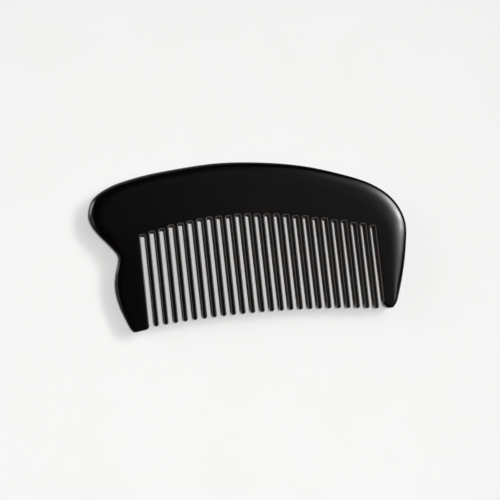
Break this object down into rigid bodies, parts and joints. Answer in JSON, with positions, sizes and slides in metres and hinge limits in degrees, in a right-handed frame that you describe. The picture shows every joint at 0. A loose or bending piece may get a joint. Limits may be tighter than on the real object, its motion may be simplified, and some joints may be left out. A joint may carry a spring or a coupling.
{
  "type": "beard comb",
  "caption": "Flat pocket comb of polished black horn with a curved spine, a lobed grip, two wide guard teeth and a row of fine saw-cut teeth.",
  "frame": {"origin": "middle of the comb's length and height, on the surface it lies on", "axes": "+X along the comb's length towards the right guard, +Y from the teeth to the spine, +Z out of the front face"},
  "size_m": [0.105, 0.0538, 0.006],
  "materials": {
    "horn": "polished black horn, near jet black, faintly brown where it is thin"
  },
  "bodies": {
    "root": {"spine": "horn", "left_guard": "horn", "right_guard": "horn", "tooth_01": "horn", "tooth_02": "horn", "tooth_03": "horn", "tooth_04": "horn", "tooth_05": "horn", "tooth_06": "horn", "tooth_07": "horn", "tooth_08": "horn", "tooth_09": "horn", "tooth_10": "horn", "tooth_11": "horn", "tooth_12": "horn", "tooth_13": "horn", "tooth_14": "horn", "tooth_15": "horn", "tooth_16": "horn", "tooth_17": "horn", "tooth_18": "horn", "tooth_19": "horn", "tooth_20": "horn", "tooth_21": "horn", "tooth_22": "horn", "tooth_23": "horn", "tooth_24": "horn"}
  },
  "joints": []
}
